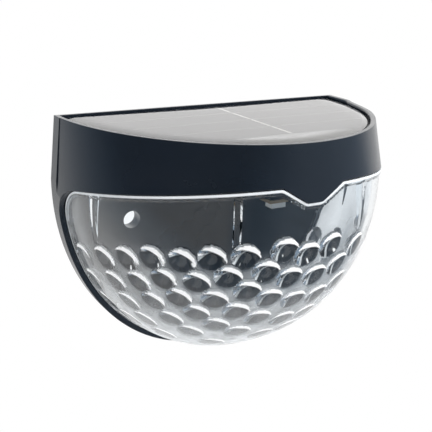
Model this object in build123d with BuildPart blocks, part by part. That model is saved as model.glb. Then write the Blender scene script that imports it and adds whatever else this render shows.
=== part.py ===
"""Half-round solar fence light: a hood with a solar panel on top, over a clear dimpled lens.

Frame: millimetres, +Z up, +X to the right, the light projects towards -Y.
The origin is midway between the two hanging holes, on the wall plane y = 0.
"""
from build123d import *
from math import cos, hypot, pi, radians, sin
import os

# ---------------------------------------------------------------- driving dimensions
rim_half_width = 56.0      # half the width of the hood at its top rim
rim_depth = 66.0           # wall plane to the front of the top rim
rim_top = 37.4             # height of the rim above the hanging holes
hood_flare = 0.065         # how far the hood leans outwards, per mm of height
hood_front_flare = 0.1     # the same at the front
hood_foot_drop = 42.0      # level down to which the hood's shape is set out
rim_power = 1.97           # superellipse power of the hood's plan at the rim
foot_power = 2.5           # and at its foot
hood_wall = 2.0
hood_front_height = 12.8   # height of the hood at its front
hood_edge_slope = 0.17     # fall of the hood's lower edge, per mm towards the wall
cheek_radius = 13.0        # corner where the hood's edge turns down into the flange

plate_half_width = 57.6    # back flange, a half ellipse below its shoulder
plate_height = 68.4
shoulder_z = 16.5
plate_thickness = 5.0
plate_skin = 2.0           # front skin of the flange, hollow behind
plate_rim = 2.2
hole_spacing = 61.0        # hanging holes
hole_diameter = 6.2
hole_boss_diameter = 11.0

lens_inset = 2.3           # flange left bare around the lens
lens_power = 2.24          # superellipse power of the lens's plan
lens_setback = 0.5         # front of the lens behind the hood's lower edge
lens_wall = 2.0
lens_gap = 0.3             # clearance of the lens's edge under the hood
lens_lip = 0.4             # how far the lens's bead stands out
lens_lip_width = 1.4

tab_half_width = 10.9      # tongue under the front of the hood
tab_drop = 5.1
tab_flat = 2.6
tab_corner = 2.5
tab_recess = 0.6
tab_rise = 4.0             # overlap of the tongue behind the hood wall

clip_width = 2.2           # ribs on the lens that clip under the hood
clip_depth = 4.5
clip_length = 17.0
clip_rise = 2.8
clip_offset = 2.6          # clip's outer face, in from the lens's outer surface
clip_foot = 0.3
clip_stations = (-53.2, -23.5, 23.5, 53.2)
lug_thickness = 2.0
lug_width = 6.0

rim_round = 0.6            # round on the rim's outer edge

panel_recess = 0.5         # rim above the panel's face
panel_gap = 1.0            # open gap between the panel and the rim
panel_back_wall = 1.0
cover_layer = 0.6
cell_thickness = 0.2
panel_board_thickness = 1.6
sealant_thickness = 0.4
sealant_width = 3.0
cell_count = 4
cell_width = 11.4
cell_gap = 0.6
cell_margin = 2.2
ribbon_width = 0.9
ribbon_thickness = 0.1
ribbon_x = 2.2
ribbon_end = 0.6           # bare end of each cell past its ribbon
panel_lead_x = 4.0         # leads through the deck
panel_lead_y = -16.2

deck_thickness = 2.0       # floor under the panel
chamber_half_width = 36.0  # battery and switch chamber under the deck
chamber_depth = 23.4       # from the back wall forwards
chamber_height = 12.0
chamber_wall = 1.6
gasket_thickness = 0.6
cover_thickness = 1.8
screw_inset = 3.0
screw_boss_radius = 3.2
screw_pilot_radius = 0.8
screw_clear_radius = 1.2
screw_head_radius = 2.0
screw_head_height = 1.1
cover_screw_length = 8.0

cell_radius = 5.25         # AAA rechargeable cell
cell_length = 43.6
cap_radius = 1.9
cap_height = 0.9
contact_thickness = 0.4
spring_length = 4.4
spring_wire = 0.6
spring_radius = 3.2
spring_turns = 4
battery_left = -29.0
battery_y = -21.5
contact_width = 9.0
contact_rib = 1.6
cradle_stations = (-17.0, 11.0)
cradle_width = 12.0
cradle_thickness = 1.6
cradle_height = 3.6
cradle_gap = 0.3

board_length = 40.0        # control board hung under the deck
board_width = 9.0
board_thickness = 1.0
board_left = -29.0
board_back = -5.6
board_standoff = 3.0
board_boss_radius = 2.0
board_screw_inset = 4.0
chip_size = (5.0, 4.0, 1.6)
inductor_radius = 1.5
inductor_length = 6.0
capacitor_size = (3.4, 2.4, 1.8)
resistor_size = (2.0, 1.2, 0.6)

switch_x = 20.0            # slide switch in the back wall
switch_drop = 12.0         # below the rim
switch_length = 12.0
switch_height = 6.0
switch_depth = 5.0
switch_frame_length = 20.0
switch_frame_thickness = 0.4
frame_screw_inset = 2.0
frame_screw_length = 3.2
terminal_pitch = 3.0
terminal_size = (0.4, 1.6)
terminal_length = 3.0
recess_length = 11.0
recess_height = 7.0
recess_depth = 3.6
knob_length = 3.0
knob_height = 2.4
knob_travel = 3.0
knob_clearance = 0.3
knob_proud = 2.7           # knob standing in the recess
carrier_length = 4.6
carrier_height = 3.6
carrier_depth = 2.6

led_y = -46.6              # light source hanging at the front
led_width = 5.2
led_depth = 3.6
led_height = 2.4
led_board_top = 16.1
led_board_width = 9.6
led_board_depth = 8.0
led_board_thickness = 1.0
led_window_radius = 1.4
led_window_depth = 0.3
stem_width = 7.0
stem_depth = 5.6
stem_wall = 1.4

lead_radius = 0.5
lead_bend = 1.2
lead_pitch = 1.4
lead_gap = 0.1             # lead above the board it is soldered to
lead_slot_height = 2.0
led_lead_x = 27.0
led_pad_inset = 2.5        # solder pads, in from the control board's right end
switch_pad_inset = 1.6
led_lead_end = 0.6         # leads' ends over the light source's board
led_lead_corner = 12.0     # where they turn in towards the stem
led_lead_wall = 4.6        # chamber wall to where they turn away from it
panel_lead_run = 4.0       # panel leads along the top of the control board
switch_lead_drop = 4.2
switch_lead_step = 0.9
battery_pad_y = 3.2
battery_lead_drop = 2.4

# ---------------------------------------------------------------- levels that follow
panel_face = rim_top - panel_recess
panel_thickness = cover_layer + cell_thickness + panel_board_thickness
panel_under = panel_face - panel_thickness
deck_top = panel_under - sealant_thickness
deck_under = deck_top - deck_thickness
chamber_bottom = deck_under - chamber_height
cover_top = chamber_bottom - gasket_thickness
cover_under = cover_top - cover_thickness
board_top = deck_under - board_standoff
board_under = board_top - board_thickness
battery_z = deck_under - chamber_height / 2
switch_z = rim_top - switch_drop
chamber_back = -plate_thickness
chamber_front = chamber_back - chamber_depth
lens_half_width = plate_half_width - lens_inset
lens_depth = rim_depth + hood_front_flare * hood_front_height - lens_setback
lens_height = plate_height - lens_inset
battery_right = battery_left + spring_length + cell_length + cap_height
board_right = board_left + board_length
board_mid_y = board_back - board_width / 2
board_boss_places = [
    (board_left + board_screw_inset, board_mid_y),
    (board_right - 2 * board_screw_inset, board_mid_y),
]
hole_places = [(-hole_spacing / 2, 0), (hole_spacing / 2, 0)]
slot_length = knob_length + knob_travel + 2 * knob_clearance
slot_height = knob_height + 2 * knob_clearance
frame_screw_reach = switch_frame_length / 2 - frame_screw_inset
frame_screw_offsets = [(-frame_screw_reach, 0), (frame_screw_reach, 0)]
panel_hole_width = 2 * lead_radius + 1.0
panel_hole_length = lead_pitch + panel_hole_width
led_lead_z = deck_under - 1.2
lead_slot_length = lead_pitch + 2 * lead_radius + 1.2
screw_places = [
    (side * (chamber_half_width - screw_inset), y)
    for side in (-1, 1)
    for y in (chamber_back - screw_inset, chamber_front + screw_inset)
]
far = 90.0                 # reach of the cutting shapes, past the whole light


def hood_edge_z(y):
    """Height of the hood's lower edge at distance y from the wall."""
    return rim_top - hood_front_height - hood_edge_slope * (rim_depth + y)


tab_edge_z = hood_edge_z(-rim_depth)


# ---------------------------------------------------------------- shared outlines
def plan_outline(half_width, depth, power, back=0.0, steps=14):
    """Half superellipse towards -Y, closed by a straight line along the wall."""
    points = []
    for step in range(steps + 1):
        turn = pi * step / steps
        side = -1 if turn < pi / 2 else 1
        x = side * half_width * abs(cos(turn)) ** (2 / power)
        points.append((x, back - (depth + back) * max(sin(turn), 0.0) ** (2 / power)))
    with BuildSketch() as outline:
        with BuildLine():
            Spline(*points, tangents=[(0, -1), (0, 1)])
            Line(points[-1], points[0])
        make_face()
    return outline.sketch


def flange_outline(inset):
    """Back flange seen from the front: straight sides above a half ellipse."""
    half = plate_half_width - inset
    top = rim_half_width - inset
    with BuildSketch() as outline:
        with BuildLine():
            EllipticalCenterArc(
                (0, shoulder_z), half, plate_height - inset, start_angle=180, arc_size=180
            )
            Polyline((half, shoulder_z), (top, rim_top), (-top, rim_top), (-half, shoulder_z))
        make_face()
    return outline.sketch


def tab_outline(grow=0.0):
    """Tongue seen from the front, reaching up behind the hood wall."""
    with BuildSketch() as outline:
        with BuildLine():
            Polyline(
                (-tab_half_width, tab_edge_z + tab_rise),
                (-tab_half_width, tab_edge_z),
                (-tab_flat, tab_edge_z - tab_drop),
                (tab_flat, tab_edge_z - tab_drop),
                (tab_half_width, tab_edge_z),
                (tab_half_width, tab_edge_z + tab_rise),
                close=True,
            )
        make_face()
        fillet(outline.vertices().group_by(Axis.Y)[0], tab_corner)
        if grow:
            offset(amount=grow)
    return outline.sketch


def hood_form(inset):
    """Solid hood shape from the rim down to its foot, inset from the outer surface."""
    rim_width = rim_half_width - inset
    foot_width = rim_width + hood_flare * hood_foot_drop
    foot_depth = rim_depth - inset + hood_front_flare * hood_foot_drop
    with BuildPart() as form:
        with BuildSketch(Plane.XY.offset(rim_top)):
            add(plan_outline(rim_width, rim_depth - inset, rim_power))
        with BuildSketch(Plane.XY.offset(rim_top - hood_foot_drop)):
            add(plan_outline(foot_width, foot_depth, foot_power))
        loft()
    return form.part


def opening_form(gap):
    """Everything that lies below the hood's edge and in front of the flange, less the tongue."""
    front_of_flange = -plate_thickness - (gap if gap > lens_gap else 0.0)
    with BuildPart() as form:
        with BuildSketch(Plane.YZ) as profile:
            with BuildLine():
                Polyline(
                    (-far, hood_edge_z(-far) - gap),
                    (front_of_flange, hood_edge_z(front_of_flange) - gap),
                    (front_of_flange, -far),
                    (-far, -far),
                    close=True,
                )
            make_face()
            fillet(profile.vertices().sort_by_distance((front_of_flange, shoulder_z))[0], cheek_radius)
        extrude(amount=far, both=True)
        with BuildSketch(Plane.XZ.offset(rim_depth / 2)):
            add(tab_outline(grow=gap))
        extrude(amount=far, mode=Mode.SUBTRACT)
    return form.part


def hood_hollow():
    """Space inside the hood wall, under the deck and in front of the flange."""
    with BuildPart() as form:
        add(hood_form(hood_wall))
        with BuildSketch(Plane.XY.offset(deck_under)):
            Rectangle(2 * far, far, align=(Align.CENTER, Align.MAX))
        extrude(amount=-far, mode=Mode.INTERSECT)
        with BuildSketch(Plane.XZ.offset(plate_thickness)):
            Rectangle(2 * far, 2 * far)
        extrude(amount=far, mode=Mode.INTERSECT)
    return form.part


def tongue():
    """Tongue behind the front of the hood, set back from the hood's face."""
    with BuildPart() as form:
        add(hood_form(tab_recess))
        add(hood_form(tab_recess + hood_wall), mode=Mode.SUBTRACT)
        with BuildSketch(Plane.XZ.offset(rim_depth / 2)):
            add(tab_outline())
        extrude(amount=far, mode=Mode.INTERSECT)
    return form.part


def lens_form(inset):
    """Solid lens shape, inset from the smooth outer surface."""
    half = lens_half_width - inset
    depth = lens_depth - inset
    drop = lens_height - inset
    with BuildPart() as form:
        with BuildSketch(Plane.XY.offset(shoulder_z)):
            add(plan_outline(half, depth, lens_power))
        extrude(amount=rim_top - shoulder_z)
        for tilt in (0, 10, 22, 34, 46, 57, 67, 76, 82, 86.5):
            ring = cos(radians(tilt))
            with BuildSketch(Plane.XY.offset(shoulder_z - drop * sin(radians(tilt)))):
                add(plan_outline(half * ring, depth * ring, lens_power))
        loft()
    return form.part


def lens_plan_y(x):
    """Distance of the lens's outer surface from the wall, at station x."""
    share = abs(x) / lens_half_width
    return -lens_depth * (1 - share ** lens_power) ** (1 / lens_power)


def inward(x, y):
    """Unit vector from a point on the lens's plan towards its inside."""
    slope_x = x / lens_half_width ** 2 * abs(x / lens_half_width) ** (lens_power - 2)
    slope_y = y / lens_depth ** 2 * abs(y / lens_depth) ** (lens_power - 2)
    size = hypot(slope_x, slope_y)
    return -slope_x / size, -slope_y / size


def lens_ribs():
    """Ribs inside the lens that rise behind the hood wall and clip there."""
    with BuildPart() as form:
        for x in clip_stations:
            y = lens_plan_y(x)
            nx, ny = inward(x, y)
            edge_z = hood_edge_z(y) - lens_gap
            with BuildSketch(Plane(origin=(x, y, 0), x_dir=(nx, ny, 0), z_dir=(ny, -nx, 0))):
                with BuildLine():
                    Polyline(
                        (lens_wall / 4, edge_z - clip_length),
                        (lens_wall / 4, edge_z - lens_gap),
                        (clip_offset, edge_z - lens_gap),
                        (clip_offset, edge_z + clip_rise),
                        (clip_depth, edge_z + clip_rise),
                        (clip_depth, edge_z - 1),
                        (lens_wall + clip_foot, edge_z - clip_length),
                        close=True,
                    )
                make_face()
            extrude(amount=clip_width / 2, both=True)
        add(lens_form(lens_wall / 4), mode=Mode.INTERSECT)
    return form.part


def lead_form(points, bend=lead_bend):
    """Insulated wire along straight runs joined by arcs."""
    with BuildPart() as form:
        with BuildLine() as route:
            FilletPolyline(*points, radius=bend)
        with BuildSketch(Plane(origin=route.line @ 0, z_dir=route.line % 0)):
            Circle(lead_radius)
        sweep()
    return form.part


def screw_form(length, head_radius=screw_head_radius, head_height=screw_head_height):
    """Pan-head screw pointing along +Z, its head's underside at the origin."""
    shank_radius = screw_pilot_radius - 0.05
    with BuildPart() as form:
        with BuildSketch(Plane.XY):
            Circle(head_radius)
        extrude(amount=-head_height)
        fillet(form.edges().group_by(Axis.Z)[0], head_height / 3)
        with BuildSketch(Plane.XY):
            Circle(shank_radius)
        extrude(amount=length)
        chamfer(form.edges().group_by(Axis.Z)[-1], shank_radius / 2)
        with BuildSketch(Plane.XY.offset(-head_height)):
            Rectangle(head_radius, head_height / 3)
            Rectangle(head_height / 3, head_radius)
        extrude(amount=head_height / 2, mode=Mode.SUBTRACT)
    return form.part


def save(item, label, color):
    item.part.label = label
    item.part.color = Color(*color)
    export_step(item.part, f"parts/{label}.step")


os.makedirs("parts", exist_ok=True)
black = (0.05, 0.06, 0.08)

# ---------------------------------------------------------------- housing
with BuildPart() as housing:
    # hood and cheeks: the flared D shape, trimmed to the flange's outline
    add(hood_form(0))
    with BuildSketch(Plane.XZ):
        add(flange_outline(0))
    extrude(amount=far, mode=Mode.INTERSECT)
    add(opening_form(0), mode=Mode.SUBTRACT)
    # back flange
    with BuildSketch(Plane.XZ):
        add(flange_outline(0))
    extrude(amount=plate_thickness)
    # room for the panel
    with BuildSketch(Plane.XY.offset(rim_top)):
        add(
            plan_outline(
                rim_half_width - hood_wall, rim_depth - hood_wall, rim_power, -panel_back_wall
            )
        )
    extrude(amount=-(rim_top - deck_top), mode=Mode.SUBTRACT)
    # inside of the hood, below the deck and in front of the flange
    add(hood_hollow(), mode=Mode.SUBTRACT)
    add(tongue())
    # chamber walls
    with BuildSketch(Plane.XY.offset(deck_under)):
        with Locations((0, chamber_back)):
            Rectangle(
                2 * (chamber_half_width + chamber_wall),
                chamber_depth + chamber_wall,
                align=(Align.CENTER, Align.MAX),
            )
            Rectangle(
                2 * chamber_half_width,
                chamber_depth,
                align=(Align.CENTER, Align.MAX),
                mode=Mode.SUBTRACT,
            )
        with Locations(*screw_places):
            Circle(screw_boss_radius)
        with Locations(*board_boss_places):
            Circle(board_boss_radius)
    extrude(amount=-chamber_height)
    # the two bosses that carry the control board stop at its top face
    with BuildSketch(Plane.XY.offset(board_top)):
        with Locations(*board_boss_places):
            Circle(board_boss_radius)
    extrude(amount=-chamber_height, mode=Mode.SUBTRACT)
    # ribs that back the battery contacts
    with BuildSketch(Plane.XY.offset(deck_under)):
        with Locations((battery_left - contact_thickness, battery_y)):
            Rectangle(contact_rib, contact_width, align=(Align.MAX, Align.CENTER))
        with Locations((battery_right + contact_thickness, battery_y)):
            Rectangle(contact_rib, contact_width, align=(Align.MIN, Align.CENTER))
    extrude(amount=-(chamber_height - 0.4))
    # stem for the light source: a channel open to the right
    with BuildSketch(Plane.XY.offset(deck_under)):
        with Locations((0, led_y)):
            Rectangle(stem_width, stem_depth)
        with Locations((stem_width / 2, led_y)):
            Rectangle(
                stem_width - stem_wall,
                stem_depth - 2 * stem_wall,
                align=(Align.MAX, Align.CENTER),
                mode=Mode.SUBTRACT,
            )
    extrude(amount=-(deck_under - led_board_top))
    # lugs that hold the lens's clips against the hood wall
    for x in clip_stations:
        y = lens_plan_y(x)
        nx, ny = inward(x, y)
        lug_plane = Plane(origin=(x, y, deck_under), x_dir=(nx, ny, 0), z_dir=(0, 0, 1))
        with BuildSketch(lug_plane):
            with Locations((clip_depth + lens_gap, 0)):
                Rectangle(lug_thickness, lug_width, align=(Align.MIN, Align.CENTER))
        extrude(amount=-(deck_under - hood_edge_z(y) - clip_rise / 2))
    # flange: hollow behind, with bosses round the hanging holes
    with BuildSketch(Plane.XZ):
        add(flange_outline(plate_rim))
        with Locations((0, cover_under)):
            Rectangle(2 * far, far, align=(Align.CENTER, Align.MIN), mode=Mode.SUBTRACT)
        with Locations(*hole_places):
            Circle(hole_boss_diameter / 2, mode=Mode.SUBTRACT)
        Rectangle(plate_rim, 2 * far, mode=Mode.SUBTRACT)
    extrude(amount=plate_thickness - plate_skin, mode=Mode.SUBTRACT)
    with BuildSketch(Plane.XZ):
        with Locations(*hole_places):
            Circle(hole_diameter / 2)
    extrude(amount=plate_thickness, mode=Mode.SUBTRACT)
    # recess and slot for the switch knob
    with BuildSketch(Plane.XZ):
        with Locations((switch_x, switch_z)):
            RectangleRounded(recess_length, recess_height, 1.5)
    extrude(amount=recess_depth, mode=Mode.SUBTRACT)
    with BuildSketch(Plane.XZ):
        with Locations((switch_x, switch_z)):
            Rectangle(slot_length, slot_height)
    extrude(amount=plate_thickness, mode=Mode.SUBTRACT)
    with BuildSketch(Plane.XZ.offset(plate_thickness)):
        with Locations((switch_x, switch_z)):
            with Locations(*frame_screw_offsets):
                Circle(screw_pilot_radius)
    extrude(amount=-(frame_screw_length + 0.4), mode=Mode.SUBTRACT)
    # screw pilots, the panel's lead hole and the leads' slot in the chamber wall
    with BuildSketch(Plane.XY.offset(chamber_bottom)):
        with Locations(*screw_places):
            Circle(screw_pilot_radius)
    extrude(amount=cover_screw_length, mode=Mode.SUBTRACT)
    with BuildSketch(Plane.XY.offset(board_top)):
        with Locations(*board_boss_places):
            Circle(screw_pilot_radius)
    extrude(amount=board_standoff - 0.4, mode=Mode.SUBTRACT)
    with BuildSketch(Plane.XY.offset(deck_top)):
        with Locations((panel_lead_x, panel_lead_y)):
            SlotOverall(panel_hole_length, panel_hole_width)
    extrude(amount=-deck_thickness, mode=Mode.SUBTRACT)
    with BuildSketch(Plane.XZ.offset(-chamber_front)):
        with Locations((led_lead_x + lead_pitch / 2, led_lead_z)):
            Rectangle(lead_slot_length, lead_slot_height)
    extrude(amount=chamber_wall, mode=Mode.SUBTRACT)
    # softened outer edge of the rim
    rim_edge = housing.edges().filter_by(GeomType.LINE, reverse=True).group_by(Axis.Z)[-1]
    fillet(rim_edge.sort_by(SortBy.LENGTH)[-1], rim_round)
save(housing, "housing", black)

# ---------------------------------------------------------------- lens
with BuildPart() as lens:
    # bead round the edge, standing out from the wall
    add(lens_form(-lens_lip))
    add(opening_form(lens_lip_width + lens_gap), mode=Mode.SUBTRACT)
    add(lens_form(0))
    add(opening_form(lens_gap), mode=Mode.INTERSECT)
    add(lens_form(lens_wall), mode=Mode.SUBTRACT)
    add(lens_ribs())
save(lens, "lens", (0.85, 0.9, 0.92))

# ---------------------------------------------------------------- solar panel
panel_half_width = rim_half_width - hood_wall - panel_gap
panel_depth = rim_depth - hood_wall - panel_gap
panel_back = -(panel_back_wall + lens_gap)
cell_face = panel_under + panel_board_thickness


def panel_outline(inset=0.0):
    """The panel seen from above, inset from its edge."""
    return plan_outline(
        panel_half_width - inset, panel_depth - inset, rim_power, panel_back - inset
    )


with BuildPart() as panel_sealant:
    with BuildSketch(Plane.XY.offset(deck_top)):
        add(panel_outline())
        add(panel_outline(sealant_width), mode=Mode.SUBTRACT)
    extrude(amount=sealant_thickness)
save(panel_sealant, "panel_sealant", (0.1, 0.1, 0.1))

with BuildPart() as panel_board:
    with BuildSketch(Plane.XY.offset(panel_under)):
        add(panel_outline())
    extrude(amount=panel_board_thickness)
save(panel_board, "panel_board", (0.04, 0.05, 0.05))

with BuildPart() as solar_cells:
    with BuildSketch(Plane.XY.offset(cell_face)):
        for row in range(cell_count):
            strip_back = panel_back - cell_margin - row * (cell_width + cell_gap)
            with Locations((0, strip_back)):
                Rectangle(2 * far, cell_width, align=(Align.CENTER, Align.MAX))
        add(panel_outline(cell_margin), mode=Mode.INTERSECT)
    extrude(amount=cell_thickness)
save(solar_cells, "solar_cells", (0.08, 0.09, 0.14))

with BuildPart() as bus_ribbons:
    with BuildSketch(Plane.XY.offset(cell_face + cell_thickness)):
        for row in range(cell_count):
            strip_back = panel_back - cell_margin - row * (cell_width + cell_gap)
            with Locations((ribbon_x, strip_back)):
                Rectangle(ribbon_width, cell_width - ribbon_end, align=(Align.CENTER, Align.MAX))
    extrude(amount=ribbon_thickness)
save(bus_ribbons, "bus_ribbons", (0.8, 0.8, 0.78))

with BuildPart() as panel_cover:
    with BuildSketch(Plane.XY.offset(cell_face)):
        add(panel_outline())
    extrude(amount=cell_thickness + cover_layer)
    add(solar_cells.part, mode=Mode.SUBTRACT)
    add(bus_ribbons.part, mode=Mode.SUBTRACT)
save(panel_cover, "panel_cover", (0.8, 0.82, 0.85))

# ---------------------------------------------------------------- light source
with BuildPart() as led_board:
    with BuildSketch(Plane.XY.offset(led_board_top)):
        with Locations((0, led_y)):
            Rectangle(led_board_width, led_board_depth)
    extrude(amount=-led_board_thickness)
save(led_board, "led_board", (0.45, 0.35, 0.22))

led_top = led_board_top - led_board_thickness
led_under = led_top - led_height
with BuildPart() as led:
    with BuildSketch(Plane.XY.offset(led_top)):
        with Locations((0, led_y)):
            Rectangle(led_width, led_depth)
    extrude(amount=-led_height)
    with BuildSketch(Plane.XY.offset(led_under)):
        with Locations((0, led_y)):
            Circle(led_window_radius)
    extrude(amount=led_window_depth, mode=Mode.SUBTRACT)
save(led, "led", (0.9, 0.9, 0.88))

with BuildPart() as led_phosphor:
    with BuildSketch(Plane.XY.offset(led_under)):
        with Locations((0, led_y)):
            Circle(led_window_radius)
    extrude(amount=led_window_depth)
save(led_phosphor, "led_phosphor", (0.95, 0.85, 0.3))

# ---------------------------------------------------------------- chamber cover
with BuildPart() as cover_gasket:
    with BuildSketch(Plane.XY.offset(chamber_bottom)):
        with Locations((0, chamber_back - lens_gap)):
            Rectangle(
                2 * (chamber_half_width + chamber_wall),
                chamber_depth + chamber_wall - lens_gap,
                align=(Align.CENTER, Align.MAX),
            )
        with Locations((0, chamber_back - lens_gap - chamber_wall)):
            Rectangle(
                2 * chamber_half_width,
                chamber_depth - chamber_wall - lens_gap,
                align=(Align.CENTER, Align.MAX),
                mode=Mode.SUBTRACT,
            )
    extrude(amount=-gasket_thickness)
save(cover_gasket, "cover_gasket", (0.3, 0.3, 0.3))

with BuildPart() as chamber_cover:
    with BuildSketch(Plane.XY.offset(cover_top)):
        with Locations((0, chamber_back - lens_gap)):
            Rectangle(
                2 * (chamber_half_width + chamber_wall),
                chamber_depth + chamber_wall - lens_gap,
                align=(Align.CENTER, Align.MAX),
            )
    extrude(amount=-cover_thickness)
    with Locations(*[(x, y, cover_under) for x, y in screw_places]):
        Cylinder(screw_clear_radius, cover_thickness * 2, mode=Mode.SUBTRACT)
        Cylinder(screw_head_radius + 0.2, screw_head_height * 2, mode=Mode.SUBTRACT)
    # saddles that the battery rests in
    with BuildSketch(Plane.XY.offset(cover_top)):
        with Locations(*[(x, battery_y) for x in cradle_stations]):
            Rectangle(cradle_thickness, cradle_width)
    extrude(amount=cradle_height)
    with BuildSketch(Plane.YZ):
        with Locations((battery_y, battery_z)):
            Circle(cell_radius + cradle_gap)
    extrude(amount=far, both=True, mode=Mode.SUBTRACT)
save(chamber_cover, "chamber_cover", black)

with BuildPart() as cover_screws:
    with Locations(*[(x, y, cover_under + screw_head_height) for x, y in screw_places]):
        add(screw_form(cover_screw_length))
save(cover_screws, "cover_screws", (0.6, 0.6, 0.6))

# ---------------------------------------------------------------- battery
cell_left = battery_left + spring_length
with BuildPart() as battery_cell:
    with BuildSketch(Plane.YZ.offset(cell_left)):
        with Locations((battery_y, battery_z)):
            Circle(cell_radius)
    extrude(amount=cell_length)
    fillet(battery_cell.edges(), cell_radius / 8)
save(battery_cell, "battery_cell", (0.1, 0.4, 0.25))

with BuildPart() as battery_cap:
    with BuildSketch(Plane.YZ.offset(cell_left + cell_length)):
        with Locations((battery_y, battery_z)):
            Circle(cap_radius)
    extrude(amount=cap_height)
save(battery_cap, "battery_cap", (0.75, 0.75, 0.72))

spring_travel = spring_length - spring_wire - lead_gap
with BuildPart() as battery_spring:
    with BuildLine() as coil:
        Helix(
            pitch=spring_travel / spring_turns,
            height=spring_travel,
            radius=spring_radius,
            center=(battery_left + (spring_wire + lead_gap) / 2, battery_y, battery_z),
            direction=(1, 0, 0),
        )
    with BuildSketch(Plane(origin=coil.line @ 0, z_dir=coil.line % 0)):
        Circle(spring_wire / 2)
    sweep(is_frenet=True)
save(battery_spring, "battery_spring", (0.75, 0.75, 0.75))

contact_top = deck_under - lens_gap
contact_height = chamber_height - 3 * lens_gap
for label, x in (("battery_contact_minus", battery_left - contact_thickness),
                 ("battery_contact_plus", battery_right)):
    with BuildPart() as contact:
        with BuildSketch(Plane.YZ.offset(x)):
            with Locations((battery_y, contact_top)):
                Rectangle(contact_width, contact_height, align=(Align.CENTER, Align.MAX))
        extrude(amount=contact_thickness)
    save(contact, label, (0.78, 0.78, 0.76))

# ---------------------------------------------------------------- control board
with BuildPart() as control_board:
    with BuildSketch(Plane.XY.offset(board_top)):
        with Locations((board_left, board_mid_y)):
            Rectangle(board_length, board_width, align=(Align.MIN, Align.CENTER))
        with Locations(*board_boss_places):
            Circle(screw_clear_radius, mode=Mode.SUBTRACT)
    extrude(amount=-board_thickness)
save(control_board, "control_board", (0.1, 0.35, 0.2))

board_screw_length = board_thickness + board_standoff - 1
with BuildPart() as board_screws:
    with Locations(*[(x, y, board_under) for x, y in board_boss_places]):
        add(screw_form(board_screw_length))
save(board_screws, "board_screws", (0.6, 0.6, 0.6))

with BuildPart() as controller_chip:
    with Locations((board_left + 0.3 * board_length, board_mid_y, board_under)):
        Box(*chip_size, align=(Align.CENTER, Align.CENTER, Align.MAX))
save(controller_chip, "controller_chip", (0.03, 0.03, 0.03))

with BuildPart() as inductor:
    with BuildSketch(Plane.YZ.offset(board_left + 0.42 * board_length)):
        with Locations((board_mid_y, board_under - inductor_radius - lead_gap)):
            Circle(inductor_radius)
    extrude(amount=inductor_length)
    fillet(inductor.edges(), inductor_radius / 4)
save(inductor, "inductor", (0.2, 0.5, 0.3))

with BuildPart() as capacitor:
    with Locations((board_left + 0.68 * board_length, board_mid_y, board_under)):
        Box(*capacitor_size, align=(Align.CENTER, Align.CENTER, Align.MAX))
save(capacitor, "capacitor", (0.7, 0.55, 0.3))

with BuildPart() as resistors:
    with BuildSketch(Plane.XY.offset(board_under)):
        with Locations((board_left + 0.2 * board_length, board_mid_y)):
            with GridLocations(0, 2.2 * resistor_size[1], 1, 3):
                Rectangle(resistor_size[0], resistor_size[1])
    extrude(amount=-resistor_size[2])
save(resistors, "resistors", (0.1, 0.1, 0.1))

# ---------------------------------------------------------------- slide switch
frame_face = -plate_thickness
base_back = frame_face - switch_frame_thickness
with BuildPart() as switch_frame:
    with BuildSketch(Plane.XZ.offset(-frame_face)):
        with Locations((switch_x, switch_z)):
            Rectangle(switch_frame_length, switch_height)
            Rectangle(slot_length, slot_height, mode=Mode.SUBTRACT)
            with Locations(*frame_screw_offsets):
                Circle(screw_pilot_radius + 0.2, mode=Mode.SUBTRACT)
    extrude(amount=switch_frame_thickness)
save(switch_frame, "switch_frame", (0.7, 0.7, 0.7))

with BuildPart() as frame_screws:
    with Locations(
        *[
            Plane(origin=(switch_x + dx, base_back, switch_z), z_dir=(0, 1, 0)).location
            for dx, _ in frame_screw_offsets
        ]
    ):
        add(screw_form(frame_screw_length, head_radius=1.5, head_height=1.0))
save(frame_screws, "switch_screws", (0.6, 0.6, 0.6))

cavity_length = carrier_length + knob_travel + 2 * knob_clearance
with BuildPart() as switch_base:
    with BuildSketch(Plane.XZ.offset(-base_back)):
        with Locations((switch_x, switch_z)):
            Rectangle(switch_length, switch_height)
    extrude(amount=switch_depth)
    with BuildSketch(Plane.XZ.offset(-base_back)):
        with Locations((switch_x, switch_z)):
            Rectangle(cavity_length, carrier_height + 2 * knob_clearance)
    extrude(amount=carrier_depth + 2 * knob_clearance, mode=Mode.SUBTRACT)
save(switch_base, "switch_base", (0.08, 0.08, 0.08))

# the knob rests at its left end, off, and slides to the right
knob_x = switch_x - knob_travel / 2
carrier_back = base_back - knob_clearance
with BuildPart() as switch_knob:
    with BuildSketch(Plane.XZ.offset(-carrier_back)):
        with Locations((knob_x, switch_z)):
            Rectangle(carrier_length, carrier_height)
    extrude(amount=carrier_depth)
    with BuildSketch(Plane.XZ.offset(-carrier_back)):
        with Locations((knob_x, switch_z)):
            Rectangle(knob_length, knob_height)
    extrude(amount=-(knob_proud - recess_depth - carrier_back))
    fillet(switch_knob.edges().group_by(Axis.Y)[-1], knob_clearance)
save(switch_knob, "switch_knob", (0.9, 0.9, 0.9))

with BuildPart() as switch_terminals:
    with BuildSketch(Plane.XZ.offset(-(base_back - switch_depth))):
        with Locations((switch_x, switch_z)):
            with GridLocations(terminal_pitch, 0, 3, 1):
                Rectangle(*terminal_size)
    extrude(amount=terminal_length)
save(switch_terminals, "switch_terminals", (0.8, 0.7, 0.4))

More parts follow.
